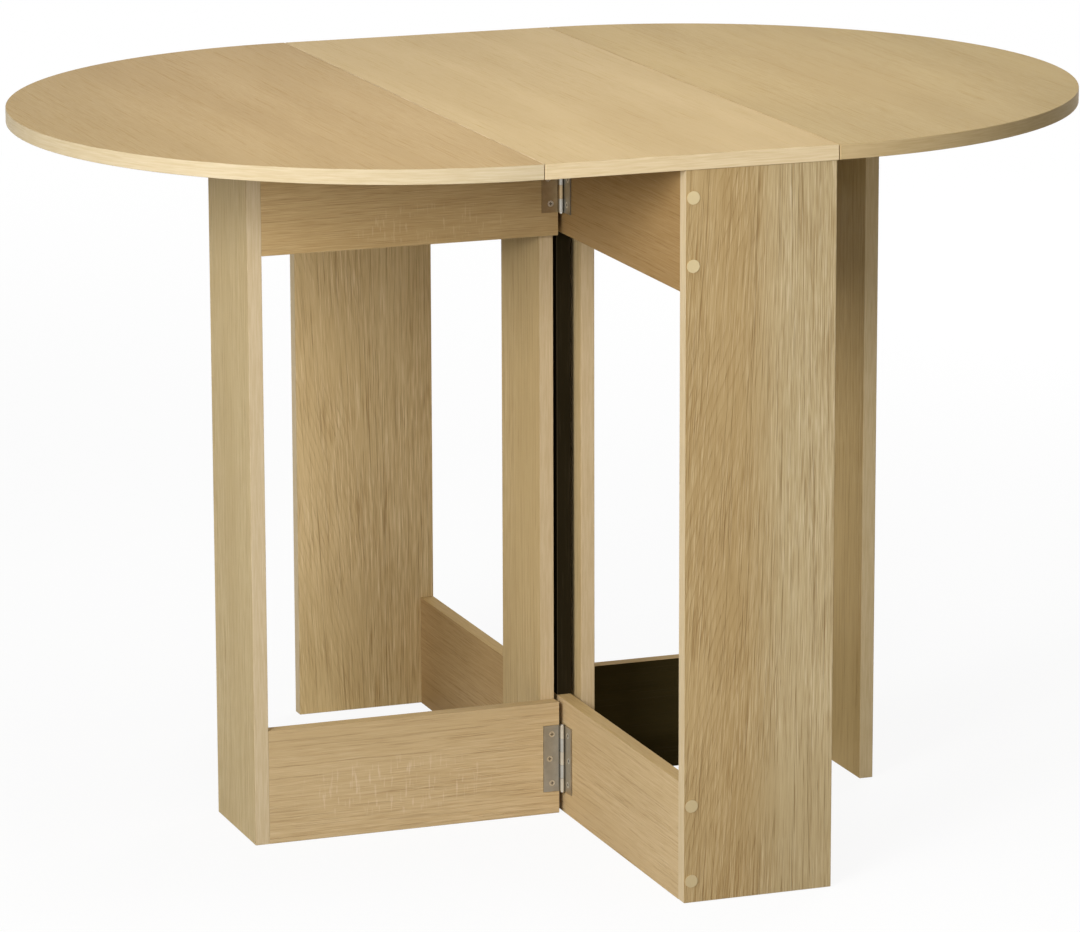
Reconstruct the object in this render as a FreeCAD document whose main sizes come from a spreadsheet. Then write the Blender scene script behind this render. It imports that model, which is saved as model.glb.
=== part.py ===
import FreeCAD, Part
import os
import re
import Sketcher

# Folding dining table: a narrow fixed top on a base with a Z plan, two swinging gates
# and two half-round drop leaves that rest on the open gates.
# Millimetres. The origin is on the floor under the middle of the table.
# +X runs from leaf to leaf, -Y is the front and +Z is up.
# The whole table repeats itself after half a turn about Z, so the right side is the left side turned.

SIZES = {
    # Table top
    "table_height": 740,
    "table_depth": 800,
    "centre_width": 300,
    "board": 15,
    "seam_gap": 1,
    # Base: two end panels joined by a spine of two rails and a post
    "top_overhang": 1,
    "panel_inset": 2,
    "spine_rail_height": 120,
    "post_width": 94,
    # Gates
    "hinge_line": 69.5,
    "leg_width": 128,
    "gate_rail_height": 118,
    "end_setback": 2.4,
    "leaf_gap": 0.5,
    "gate_drop": 3,
    # Butt hinges of the gates
    "gate_hinge_length": 70,
    "gate_hinge_width": 20,
    "gate_hinge_plate": 1.5,
    "gate_knuckle_radius": 3,
    "gate_pin_radius": 1.5,
    "gate_screw_pitch": 26,
    "gate_screw_setback": 11,
    "gate_screw_stagger": 2.5,
    # Flap hinges of the drop leaves
    "flap_hinge_length": 60,
    "flap_hinge_width": 26,
    "flap_hinge_plate": 1.2,
    "flap_knuckle_radius": 2.5,
    "flap_pin_radius": 1.25,
    "flap_screw_pitch": 20,
    "flap_screw_setback": 16,
    "flap_pitch": 290,
    # Play in the hinges and around their knuckles
    "pin_play": 0.05,
    "knuckle_gap": 0.2,
    "pin_head": 0.8,
    "rebate_play": 0.5,
    # Hinge screws
    "hinge_screw_head_radius": 3.2,
    "hinge_screw_head": 1.6,
    "hinge_screw_radius": 1.6,
    "hinge_screw_length": 12,
    # Screws of the corner blocks
    "block_screw_head_radius": 3.6,
    "block_screw_head": 1.8,
    "block_screw_radius": 1.8,
    "block_screw_length": 28,
    # Connector screws through the end panels, and the caps over them
    "connector_head_radius": 5,
    "connector_head": 2,
    "connector_radius": 3.2,
    "connector_length": 50,
    "connector_low_setback": 22,
    "connector_high_setback": 27,
    "socket_radius": 2.2,
    "socket_depth": 4,
    "cap_radius": 6.4,
    "cap_thickness": 0.8,
    "cap_stem_radius": 1.6,
    "cap_stem": 3,
    # Cross recess in the heads of the wood screws
    "cross_width": 0.9,
    "cross_length": 3.4,
    "cross_depth": 1,
    # Dowels
    "dowel_radius": 4,
    "dowel_length": 30,
    "dowel_seat": 10,
    "dowel_setback": 26,
    # Corner blocks under the top
    "corner_block": 20,
    "corner_block_length": 50,
    "corner_block_front": 90,
    "corner_block_pitch": 140,
    "block_screw_offset": 12,
    # Fits
    "hole_play": 0.1,
    "overrun": 2,
}

# Counts, and shares of the sizes that they follow
GATE_KNUCKLES = 5
FLAP_KNUCKLES = 3
SOCKET_SIDES = 6
TIP_SHARE = "0.4"

# Distances from the floor and from the middle planes of the table
UNDERSIDE = "(table_height - board)"
PANEL_FACE = "(table_depth / 2 - top_overhang)"
PANEL_BACK = f"({PANEL_FACE} - board)"
PANEL_EDGE = "(centre_width / 2 - panel_inset)"
SPINE_TOP_EDGE = f"({UNDERSIDE} - spine_rail_height)"
PIN_X = "(board / 2 + gate_knuckle_radius)"
GATE_FACE = "(hinge_line - gate_knuckle_radius)"
GATE_END = f"({PIN_X} + end_setback)"
LEG_FACE = f"({PIN_X} + {PANEL_FACE} - hinge_line)"
LEG_BACK = f"({LEG_FACE} - board)"
RAIL_TOP = f"({UNDERSIDE} - gate_drop)"
LOW_HINGE = "(gate_rail_height / 2)"
HIGH_HINGE = f"({RAIL_TOP} - gate_rail_height / 2)"

X_AXIS = FreeCAD.Vector(1, 0, 0)
Y_AXIS = FreeCAD.Vector(0, 1, 0)
Z_AXIS = FreeCAD.Vector(0, 0, 1)
ABOUT_X = FreeCAD.Rotation(X_AXIS, 90)
BACK_ABOUT_X = FreeCAD.Rotation(X_AXIS, -90)
OVER_X = FreeCAD.Rotation(X_AXIS, 180)
ABOUT_Y = FreeCAD.Rotation(Y_AXIS, 90)
BACK_ABOUT_Y = FreeCAD.Rotation(Y_AXIS, -90)
OVER_Y = FreeCAD.Rotation(Y_AXIS, 180)
BACK_ABOUT_Z = FreeCAD.Rotation(Z_AXIS, -90)
HALF_TURN = FreeCAD.Rotation(Z_AXIS, 180)

doc = FreeCAD.newDocument("folding_dining_table")
dims = doc.addObject("Spreadsheet::Sheet", "dims")
for row, (alias, value) in enumerate(SIZES.items(), start=1):
    dims.set(f"A{row}", alias)
    dims.set(f"B{row}", str(value))
    dims.setAlias(f"B{row}", alias)
doc.recompute()

nodes = []


def sized(text):
    """An expression written in size names, with each name looked up in the sheet."""
    return re.sub(r"[a-z][a-z_]+", lambda name: "dims." + name.group(), text)


def bind(item, **texts):
    for name, text in texts.items():
        item.setExpression(name, sized(text))
    return item


def put(item, x="0", y="0", z="0", turn=None):
    """Turns an object about its own origin and moves it to a place given in size names."""
    if turn is not None:
        item.Placement = FreeCAD.Placement(FreeCAD.Vector(), turn)
    for axis, text in zip("xyz", (x, y, z)):
        item.setExpression("Placement.Base." + axis, sized(text))
    return item


def node(item, label):
    """Marks an object as a piece of the table under its own name."""
    item.Label = label
    nodes.append(item)
    return item


def block(name, x, y, z, length, width, height):
    item = doc.addObject("Part::Box", name)
    bind(item, Length=length, Width=width, Height=height)
    return put(item, x, y, z)


def rod(name, radius, height, z="0"):
    item = doc.addObject("Part::Cylinder", name)
    bind(item, Radius=radius, Height=height)
    return put(item, z=z)


def cone(name, low_radius, high_radius, height, z="0"):
    item = doc.addObject("Part::Cone", name)
    bind(item, Radius1=low_radius, Radius2=high_radius, Height=height)
    return put(item, z=z)


def fuse(name, shapes):
    item = doc.addObject("Part::MultiFuse", name)
    item.Shapes = shapes
    return item


def group(name, members):
    item = doc.addObject("Part::Compound", name)
    item.Links = members
    return item


def cut(name, base, tools):
    item = doc.addObject("Part::Cut", name)
    item.Base = base
    item.Tool = group(name + "_cuts", tools)
    return item


def copy(name, source, x="0", y="0", z="0", turn=None):
    return put(group(name, [source]), x, y, z, turn)


def copies(name, source, places):
    """One object with a copy of the source at each place: x, y, z and turn."""
    return group(name, [copy(f"{name}_{i}", source, *place) for i, place in enumerate(places)])


def half_turn(name, source):
    return copy(name, source, turn=HALF_TURN)


def both(name, source):
    """The source and the same thing after half a turn about the middle of the table."""
    return group(name, [source, half_turn(name + "_turned", source)])


# Fasteners, each along +Z from the face where it goes in


def screw_form(name, size, play):
    """A countersunk screw's outline, or with some play the hole that it fills."""
    head_radius = f"{size}_head_radius + {play}"
    radius = f"{size}_radius + {play}"
    tip = f"{size}_radius"
    shank = f"{size}_length - {size}_head - {tip} + {play}"
    return fuse(name, [
        cone(name + "_head", head_radius, radius, f"{size}_head"),
        rod(name + "_shank", radius, shank, f"{size}_head"),
        cone(name + "_tip", radius, f"({radius}) * {TIP_SHARE}", tip, f"{size}_head + {shank}"),
    ])


def screw_hole(name, size):
    mouth = rod(name + "_mouth", f"{size}_head_radius + hole_play", "overrun", "-overrun")
    return fuse(name, [mouth, screw_form(name + "_form", size, "hole_play")])


def wood_screw(name, size):
    """A countersunk wood screw with a cross recess."""
    bars = []
    arms = (("cross_length", "cross_width"), ("cross_width", "cross_length"))
    for bar, (length, width) in enumerate(arms):
        place = (f"-({length}) / 2", f"-({width}) / 2", "-overrun")
        bars.append(block(f"{name}_bar_{bar}", *place, length, width, "overrun + cross_depth"))
    return cut(name, screw_form(name + "_form", size, "0"), [fuse(name + "_cross", bars)])


hinge_screw = wood_screw("hinge_screw", "hinge_screw")
hinge_screw_hole = screw_hole("hinge_screw_hole", "hinge_screw")
block_screw = wood_screw("block_screw", "block_screw")
block_screw_hole = screw_hole("block_screw_hole", "block_screw")

socket = doc.addObject("Part::Prism", "connector_socket")
socket.Polygon = SOCKET_SIDES
bind(socket, Circumradius="socket_radius", Height="socket_depth + overrun")
put(socket, z="-overrun")
connector = cut("connector", screw_form("connector_form", "connector", "0"), [socket])
connector_hole = screw_hole("connector_hole", "connector")

dowel = rod("dowel", "dowel_radius", "dowel_length", "-dowel_seat")
dowel_hole = rod(
    "dowel_hole", "dowel_radius + hole_play", "dowel_length + 2 * hole_play", "-dowel_seat - hole_play"
)

cap = fuse("cap", [
    rod("cap_disc", "cap_radius", "cap_thickness", "-cap_thickness"),
    rod("cap_stem", "cap_stem_radius", "cap_stem"),
])


# Hinges, with the pin along Z through the origin and the plate along +X, its back towards +Y


def hinge_leaf(name, kind, back, count, own, holes):
    """One half of a hinge: a plate and a barrel with every knuckle but its own cut away."""
    length = f"{kind}_hinge_length"
    width = f"{kind}_hinge_width"
    plate = f"{kind}_hinge_plate"
    radius = f"{kind}_knuckle_radius"
    slot = f"({length} / {count})"
    barrel = rod(name + "_barrel", radius, length, f"-{length} / 2")
    flat = block(name + "_flat", "0", f"{back} - {plate}", f"-{length} / 2", width, plate, length)
    bore_radius = f"{kind}_pin_radius + pin_play"
    bore = rod(name + "_bore", bore_radius, f"{length} + 2 * overrun", f"-{length} / 2 - overrun")
    notches = []
    for i in range(count):
        if i % 2 != own:
            notch = block(
                f"{name}_notch_{i}",
                f"-{radius} - overrun",
                f"-{radius} - overrun",
                f"-{length} / 2 + {i} * {slot} - knuckle_gap / 2",
                f"2 * {radius} + overrun + knuckle_gap",
                f"2 * ({radius} + overrun)",
                f"{slot} + knuckle_gap",
            )
            notches.append(notch)
    clear = fuse(name + "_clear", [bore] + notches)
    return cut(name, fuse(name + "_blank", [flat, barrel]), [clear, holes])


def hinge_pin(name, kind):
    """A pin with a flat head at each end, just clear of the knuckles."""
    length = f"({kind}_hinge_length + knuckle_gap)"
    head_radius = f"({kind}_pin_radius + {kind}_knuckle_radius) / 2"
    shank = rod(name + "_shank", f"{kind}_pin_radius", length, f"-{length} / 2")
    foot = rod(name + "_foot", head_radius, "pin_head", f"-{length} / 2 - pin_head")
    head = rod(name + "_head", head_radius, "pin_head", f"{length} / 2")
    return fuse(name, [shank, foot, head])


gate_plate_face = "gate_knuckle_radius - gate_hinge_plate"
gate_screw_places = [
    ("gate_screw_setback", gate_plate_face, "-gate_screw_pitch", BACK_ABOUT_X),
    ("gate_screw_setback + gate_screw_stagger", gate_plate_face, "0", BACK_ABOUT_X),
    ("gate_screw_setback", gate_plate_face, "gate_screw_pitch", BACK_ABOUT_X),
]
gate_screws = copies("gate_screws", hinge_screw, gate_screw_places)
gate_holes = copies("gate_holes", hinge_screw_hole, gate_screw_places)
gate_base_leaf = hinge_leaf("gate_base_leaf", "gate", "gate_knuckle_radius", GATE_KNUCKLES, 0, gate_holes)
gate_swing_leaf = hinge_leaf("gate_swing_leaf", "gate", "gate_knuckle_radius", GATE_KNUCKLES, 1, gate_holes)
gate_pin = hinge_pin("gate_pin", "gate")

flap_screw_places = [
    ("flap_screw_setback", "-flap_hinge_plate", "-flap_screw_pitch", BACK_ABOUT_X),
    ("flap_screw_setback", "-flap_hinge_plate", "flap_screw_pitch", BACK_ABOUT_X),
]
flap_screws = copies("flap_screws", hinge_screw, flap_screw_places)
flap_holes = copies("flap_holes", hinge_screw_hole, flap_screw_places)
flap_base_plate = hinge_leaf("flap_base_plate", "flap", "0", FLAP_KNUCKLES, 0, flap_holes)
flap_leaf_plate = hinge_leaf("flap_leaf_plate", "flap", "0", FLAP_KNUCKLES, 1, flap_holes)
flap_pin = hinge_pin("flap_pin", "flap")

# Places of the left gate's hinges, on the spine and on the gate
low_base = (f"-{PIN_X}", "-hinge_line", LOW_HINGE, BACK_ABOUT_Z)
high_base = (f"-{PIN_X}", "-hinge_line", HIGH_HINGE, BACK_ABOUT_Z)
low_swing = (f"-{PIN_X}", "-hinge_line", LOW_HINGE, OVER_Y)
high_swing = (f"-{PIN_X}", "-hinge_line", HIGH_HINGE, OVER_Y)

# Places of the left leaf's hinges, along the seam on the underside of the boards
seam_rows = ("-flap_pitch", "0", "flap_pitch")
seam_base = [("-centre_width / 2", y, UNDERSIDE, ABOUT_X) for y in seam_rows]
seam_leaf = [("-centre_width / 2", y, UNDERSIDE, HALF_TURN * ABOUT_X) for y in seam_rows]

# Holes and rebates that the boards share with what is fastened to them
post_joint = "post_width / 2 - dowel_setback"
post_dowel_places = [
    ("0", f"-({post_joint})", "spine_rail_height", None),
    ("0", post_joint, "spine_rail_height", None),
    ("0", f"-({post_joint})", SPINE_TOP_EDGE, OVER_X),
    ("0", post_joint, SPINE_TOP_EDGE, OVER_X),
]
post_dowel_holes = copies("post_dowel_holes", dowel_hole, post_dowel_places)

panel_middle = f"-({PANEL_FACE} - board / 2)"
top_dowel_places = [
    ("dowel_setback", panel_middle, UNDERSIDE, OVER_X),
    (f"{PANEL_EDGE} - dowel_setback", panel_middle, UNDERSIDE, OVER_X),
]
top_dowel_holes = copies("top_dowel_holes", dowel_hole, top_dowel_places)

connector_rows = [
    "connector_low_setback",
    "spine_rail_height - connector_low_setback",
    f"{SPINE_TOP_EDGE} + connector_high_setback",
    f"{UNDERSIDE} - connector_high_setback",
]
connector_places = [("0", f"-{PANEL_FACE}", z, BACK_ABOUT_X) for z in connector_rows]
connector_holes = copies("connector_holes", connector_hole, connector_places)
all_connector_holes = both("all_connector_holes", connector_holes)

first_corner = f"-{PANEL_BACK} + corner_block_front"
corner_rows = [first_corner, f"{first_corner} + corner_block_pitch"]
block_foot = f"{UNDERSIDE} - corner_block"
block_middle = f"{UNDERSIDE} - corner_block / 2"
block_screw_places = []
for y in corner_rows:
    rise = ("board / 2 + corner_block / 2", f"{y} - block_screw_offset", block_foot, None)
    side = ("board / 2 + corner_block", f"{y} + block_screw_offset", block_middle, BACK_ABOUT_Y)
    block_screw_places += [rise, side]
block_screw_holes = copies("block_screw_holes", block_screw_hole, block_screw_places)
all_block_screw_holes = both("all_block_screw_holes", block_screw_holes)

gate_base_holes = copies("gate_base_holes", gate_holes, [low_base, high_base])
all_gate_base_holes = both("all_gate_base_holes", gate_base_holes)
gate_swing_holes = copies("gate_swing_holes", gate_holes, [low_swing, high_swing])

flap_base_holes = copies("flap_base_holes", flap_holes, seam_base)
flap_leaf_holes = copies("flap_leaf_holes", flap_holes, seam_leaf)
rebate_reach = "(flap_knuckle_radius + rebate_play)"
rebate_end = "(flap_hinge_length / 2 + pin_head + rebate_play)"
seam_rebates = group("seam_rebates", [
    block(
        f"seam_rebate_{i}",
        f"-centre_width / 2 - {rebate_reach}",
        f"{y} - {rebate_end}",
        f"{UNDERSIDE} - overrun",
        f"2 * {rebate_reach}",
        f"2 * {rebate_end}",
        f"{rebate_reach} + overrun",
    )
    for i, y in enumerate(seam_rows)
])

# Fixed part: the centre of the top, the two end panels and the spine
top_blank = block(
    "top_blank",
    "-(centre_width - seam_gap) / 2",
    "-table_depth / 2",
    UNDERSIDE,
    "centre_width - seam_gap",
    "table_depth",
    "board",
)
top_cuts = [
    both("top_rebates", seam_rebates),
    both("top_flap_holes", flap_base_holes),
    both("top_panel_holes", top_dowel_holes),
    all_block_screw_holes,
]
node(cut("centre_top", top_blank, top_cuts), "centre_top")

panel_blank = block(
    "panel_blank", "-board / 2", f"-{PANEL_FACE}", "0", f"{PANEL_EDGE} + board / 2", "board", UNDERSIDE
)
front_panel = node(cut("front_panel", panel_blank, [connector_holes, top_dowel_holes]), "front_panel")
node(half_turn("rear_panel", front_panel), "rear_panel")


def spine_rail(label, z, cuts):
    span = f"2 * {PANEL_BACK}"
    blank = block(label + "_blank", "-board / 2", f"-{PANEL_BACK}", z, "board", span, "spine_rail_height")
    shared = [all_connector_holes, all_gate_base_holes, post_dowel_holes]
    return node(cut(label, blank, shared + cuts), label)


spine_rail("spine_top_rail", SPINE_TOP_EDGE, [all_block_screw_holes])
spine_rail("spine_bottom_rail", "0", [])
post_blank = block(
    "post_blank",
    "-board / 2",
    "-post_width / 2",
    "spine_rail_height",
    "board",
    "post_width",
    f"{SPINE_TOP_EDGE} - spine_rail_height",
)
node(cut("spine_post", post_blank, [post_dowel_holes]), "spine_post")

node(both("connector_screws", copies("front_connectors", connector, connector_places)), "connector_screws")
node(both("screw_caps", copies("front_caps", cap, connector_places)), "screw_caps")
node(copies("post_dowels", dowel, post_dowel_places), "post_dowels")
node(both("top_dowels", copies("front_top_dowels", dowel, top_dowel_places)), "top_dowels")

front_blocks = cut(
    "front_blocks",
    group("front_block_blanks", [
        block(
            f"front_block_{i}",
            "board / 2",
            f"{y} - corner_block_length / 2",
            block_foot,
            "corner_block",
            "corner_block_length",
            "corner_block",
        )
        for i, y in enumerate(corner_rows)
    ]),
    [block_screw_holes],
)
node(both("corner_blocks", front_blocks), "corner_blocks")
node(both("block_screws", copies("front_block_screws", block_screw, block_screw_places)), "block_screws")

# Left gate, open along -X: a leg, a stile behind the hinge end and two rails across their front edges
leg_blank = block(
    "leg_blank", f"-{LEG_FACE}", f"-{GATE_FACE}", "0", "board", "leg_width", f"{UNDERSIDE} - leaf_gap"
)
stile_blank = block(
    "stile_blank",
    f"-{GATE_END} - board",
    f"-{GATE_FACE} + board",
    "0",
    "board",
    "leg_width - board",
    RAIL_TOP,
)
gate_dowel_places = []
for rail_foot in ("0", f"({RAIL_TOP} - gate_rail_height)"):
    for z in (f"{rail_foot} + dowel_setback", f"{rail_foot} + gate_rail_height - dowel_setback"):
        gate_dowel_places.append((f"-{LEG_BACK}", f"-{GATE_FACE} + board / 2", z, ABOUT_Y))
        gate_dowel_places.append((f"-{GATE_END} - board / 2", f"-{GATE_FACE} + board", z, BACK_ABOUT_X))
gate_dowel_holes = copies("gate_dowel_holes", dowel_hole, gate_dowel_places)


def gate_rail(name, z):
    span = f"{LEG_BACK} - {GATE_END}"
    blank = block(name + "_blank", f"-{LEG_BACK}", f"-{GATE_FACE}", z, span, "board", "gate_rail_height")
    return cut(name, blank, [gate_dowel_holes, gate_swing_holes])


# Left leaf: a half disc as deep as the table, hinged along the seam
leaf_body = doc.addObject("PartDesign::Body", "leaf_body")
leaf_sketch = leaf_body.newObject("Sketcher::SketchObject", "leaf_outline")
flat_plane = [plane for plane in leaf_body.Origin.OriginFeatures if plane.Role == "XY_Plane"]
leaf_sketch.AttachmentSupport = [(flat_plane[0], "")]
leaf_sketch.MapMode = "FlatFace"
leaf_reach = dims.table_depth / 2
rim_circle = Part.Circle(FreeCAD.Vector(), Z_AXIS, leaf_reach)
rim_arc = Part.ArcOfCircle(rim_circle, rim_circle.parameter(Y_AXIS), rim_circle.parameter(-Y_AXIS))
rim = leaf_sketch.addGeometry(rim_arc, False)
edge = leaf_sketch.addGeometry(Part.LineSegment(rim_arc.EndPoint, rim_arc.StartPoint), False)
leaf_sketch.addConstraint(Sketcher.Constraint("Coincident", rim, 3, -1, 1))
leaf_sketch.addConstraint(Sketcher.Constraint("Coincident", rim, 2, edge, 1))
leaf_sketch.addConstraint(Sketcher.Constraint("Coincident", rim, 1, edge, 2))
leaf_sketch.addConstraint(Sketcher.Constraint("Vertical", edge))
rim_radius = leaf_sketch.addConstraint(Sketcher.Constraint("Radius", rim, leaf_reach))
edge_setback = leaf_sketch.addConstraint(
    Sketcher.Constraint("DistanceX", edge, 1, -1, 1, dims.seam_gap / 2)
)
leaf_sketch.setExpression(f"Constraints[{rim_radius}]", sized("table_depth / 2"))
leaf_sketch.setExpression(f"Constraints[{edge_setback}]", sized("seam_gap / 2"))
leaf_pad = leaf_body.newObject("PartDesign::Pad", "leaf_thickness")
leaf_pad.Profile = leaf_sketch
bind(leaf_pad, Length="board")
put(leaf_body, "-centre_width / 2", "0", UNDERSIDE)

# The pieces of the left side, and their half-turn copies on the right
side_pieces = {
    "upper_hinge_base_leaf": copy("upper_base_leaf", gate_base_leaf, *high_base),
    "lower_hinge_base_leaf": copy("lower_base_leaf", gate_base_leaf, *low_base),
    "upper_hinge_gate_leaf": copy("upper_swing_leaf", gate_swing_leaf, *high_swing),
    "lower_hinge_gate_leaf": copy("lower_swing_leaf", gate_swing_leaf, *low_swing),
    "gate_hinge_pins": copies("gate_hinge_pins", gate_pin, [low_base, high_base]),
    "gate_hinge_base_screws": copies("gate_hinge_base_screws", gate_screws, [low_base, high_base]),
    "gate_hinge_screws": copies("gate_hinge_screws", gate_screws, [low_swing, high_swing]),
    "gate_leg": cut("gate_leg", leg_blank, [gate_dowel_holes]),
    "gate_stile": cut("gate_stile", stile_blank, [gate_dowel_holes]),
    "gate_top_rail": gate_rail("gate_top_rail", f"{RAIL_TOP} - gate_rail_height"),
    "gate_bottom_rail": gate_rail("gate_bottom_rail", "0"),
    "gate_dowels": copies("gate_dowels", dowel, gate_dowel_places),
    "leaf": cut("leaf", leaf_body, [seam_rebates, flap_leaf_holes]),
    "flap_base_plates": copies("flap_base_plates", flap_base_plate, seam_base),
    "flap_base_screws": copies("flap_base_screws", flap_screws, seam_base),
    "flap_leaf_plates": copies("flap_leaf_plates", flap_leaf_plate, seam_leaf),
    "flap_leaf_screws": copies("flap_leaf_screws", flap_screws, seam_leaf),
    "flap_pins": copies("flap_pins", flap_pin, seam_base),
}
for name, piece in side_pieces.items():
    node(piece, "left_" + name)
    node(half_turn("right_" + name, piece), "right_" + name)

doc.recompute()
failed = [item.Label for item in doc.Objects if "Invalid" in item.State or "Error" in item.State]
for item in nodes:
    if item.Shape.isNull() or not item.Shape.isValid() or not item.Shape.Solids:
        failed.append(item.Label)
if failed:
    raise RuntimeError("not built: " + ", ".join(failed))

os.makedirs("parts", exist_ok=True)
for item in nodes:
    solids = item.Shape.Solids
    shape = solids[0] if len(solids) == 1 else Part.Compound(solids)
    shape.exportStep(f"parts/{item.Label}.step")
    print(f"{item.Label}: {len(solids)} solid(s), {shape.Volume:.0f} mm3")
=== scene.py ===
import math

import bpy
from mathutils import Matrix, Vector

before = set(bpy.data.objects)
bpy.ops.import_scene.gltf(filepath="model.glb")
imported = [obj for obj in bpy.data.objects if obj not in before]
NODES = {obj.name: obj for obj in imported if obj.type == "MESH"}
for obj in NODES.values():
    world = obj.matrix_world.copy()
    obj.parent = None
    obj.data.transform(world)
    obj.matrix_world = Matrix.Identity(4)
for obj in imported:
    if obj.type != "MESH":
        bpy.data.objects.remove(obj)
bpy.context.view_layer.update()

# Camera: the photograph's viewing angle, for a frame of 1080 by 932. Angles are in degrees.
FRAME_WIDTH = 1080
SENSOR_WIDTH = 36.0
FOCAL_PIXELS = 5600
CAMERA_PLACE = (-1.942, -5.249, 1.653)
CAMERA_YAW = 20.26
CAMERA_PITCH = 13.10
CAMERA_ROLL = 0.17
CLIP_END = 100.0

# Lamps: place, aim, size in metres, power in watts.
LAMPS = {
    "key": ((-2.49, -2.49, 1.75), (0.0, 0.0, 0.45), 1.2, 84.0),
    "side": ((-2.79, -1.74, 1.91), (0.0, 0.0, 0.45), 1.8, 32.0),
    "front": ((-1.20, -3.31, 1.75), (0.0, 0.0, 0.45), 1.2, 17.0),
    "overhead": ((0.0, -0.28, 2.05), (0.0, 0.0, 0.70), 1.2, 15.0),
    "back": ((2.60, 2.60, 1.50), (0.0, 0.0, 0.45), 2.4, 80.0),
}
AMBIENT_LEVEL = 0.14
WHITE = (1.0, 1.0, 1.0, 1.0)

# Floor: whiter with distance, from the near to the far place.
FLOOR_TONE = (0.60, 0.60, 0.59)
FLOOR_SEEN = (0.95, 0.95, 0.95)
FLOOR_ROUGHNESS = 0.9
FLOOR_WHITENING = 0.90
FLOOR_NEAR = 1.2
FLOOR_FAR = 4.0
FLOOR_SIZE = 60.0
FLOOR_HEIGHT = -0.0004

# Edge softening of the boards; the leaves' rims are half rounds.
BOARD_ROUND = 0.0007
ROUND_STEPS = 3
WELD_REACH = 0.000005
FLAT_ANGLE = math.radians(0.5)
NORMAL_WEIGHT = 90
EDGE_REACH = 0.00005
ROUND_REACH = 0.0005
SHARP_ANGLE = math.radians(40)
MORE_THAN_ONE = 1.5
RIM_RADIUS = 0.4
RIM_OFFSET = 0.15
RIM_SIDES = {"left_leaf": -1.0, "right_leaf": 1.0}

# Colours are linear. Oak-effect board: two near tones, ring lines, pores, pale flecks, edge band, stain.
PLAIN = (1.0, 1.0, 1.0)
OAK_LOW = (0.566, 0.408, 0.193)
OAK_HIGH = (0.648, 0.482, 0.244)
OAK_LIGHT = (0.800, 0.630, 0.370)
RING_TONE = (0.440, 0.290, 0.125)
PORE_TONE = (0.330, 0.205, 0.082)
FLECK_TONE = (0.950, 0.800, 0.560)
WORN_TONE = (0.300, 0.205, 0.095)
BAND_LOW = (0.555, 0.430, 0.252)
BAND_HIGH = (0.636, 0.514, 0.332)
STAIN_LOW = (0.010, 0.0075, 0.003)
STAIN_HIGH = (0.026, 0.019, 0.009)
STAIN_WORN = (0.105, 0.080, 0.045)
FACE_STAIN_LOW = (0.026, 0.019, 0.006)
FACE_STAIN_HIGH = (0.056, 0.042, 0.015)
BOARD_GLEAM = 0.012
BOARD_GLEAM_TINT = (0.90, 0.74, 0.50)

# Fittings and hidden timber.
STEEL_LOW = (0.395, 0.378, 0.335)
STEEL_HIGH = (0.450, 0.432, 0.385)
# Tan plating: a painted reflection of the wood around the lower hinge.
WOOD_REFLECTION_LOW = (0.470, 0.415, 0.325)
WOOD_REFLECTION_HIGH = (0.535, 0.475, 0.375)
# Warm dark plating: painted shade under the table top and a painted reflection of the wood around the upper
# hinge.
SHADED_WOOD_REFLECTION_LOW = (0.390, 0.290, 0.165)
SHADED_WOOD_REFLECTION_HIGH = (0.450, 0.340, 0.200)
SCREW_LOW = (0.70, 0.67, 0.60)
SCREW_HIGH = (0.80, 0.77, 0.70)
# Painted shade in the steel's recesses: its colour, and the reach and samples of its occlusion mask.
RECESS_SHADE = (0.05, 0.045, 0.035)
RECESS_SHADE_REACH = 0.0025
RECESS_SHADE_SAMPLES = 8
HINGE_ROUGHNESS = 0.40
SCREW_ROUGHNESS = 0.32
PIN_ROUGHNESS = 0.26
CAP_LOW = (0.60, 0.480, 0.260)
CAP_HIGH = (0.66, 0.530, 0.297)
# The caps darken toward the floor as painted shade, like the boards' feet.
CAP_FOOT_SHADE = (0.82, 0.80, 0.78)
CAP_FOOT_HEIGHTS = (0.15, 0.55)
DOWEL_LOW = (0.58, 0.42, 0.24)
DOWEL_HIGH = (0.72, 0.56, 0.36)
BLOCK_LOW = (0.56, 0.40, 0.22)
BLOCK_HIGH = (0.70, 0.53, 0.32)

# Stretches of noise, in cycles per metre: of a board across, along and through it, of the others x, y and z.
BEND_STRETCH = (7.5, 2.3, 2.0)
WAVER_STRETCH = (60.0, 8.0, 30.0)
CLEAR_STRETCH = (22.0, 9.0, 22.0)
SHORT_STREAK_STRETCH = (1800.0, 42.0, 600.0)
LONG_STREAK_STRETCH = (1050.0, 11.0, 600.0)
STRENGTH_STRETCH = (13.0, 2.0, 13.0)
PORE_STRETCH = (1500.0, 32.0, 600.0)
CUT_STRETCH = (620.0, 7.5, 420.0)
CLOUD_STRETCH = (16.0, 2.1, 16.0)
FLECK_STRETCH = (58.0, 480.0, 58.0)
BAND_STRETCH = 34.0
BAND_LAYER_STRETCH = 700.0
RUBBED_STRETCH = (38.0, 38.0, 38.0)
STAIN_GRAIN_STRETCH = (520.0, 520.0, 22.0)
STAIN_CLOUD_STRETCH = (18.0, 18.0, 5.0)
TIMBER_FLECK_STRETCH = (900.0, 900.0, 900.0)
DOWEL_STRETCH = (60.0, 800.0, 800.0)
BLOCK_STRETCH = (500.0, 24.0, 500.0)
UPRIGHT_BRUSH = (1500.0, 1500.0, 60.0)
LENGTHWISE_BRUSH = (1500.0, 60.0, 1500.0)
EVEN_BRUSH = (900.0, 900.0, 900.0)
PLATING_STRETCH = (130.0, 130.0, 130.0)
SPECK_STRETCH = (1400.0, 1400.0, 1400.0)
SPARK_STRETCH = (1900.0, 1900.0, 1900.0)
DRIFT_STRETCH = (90.0, 90.0, 90.0)

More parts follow.
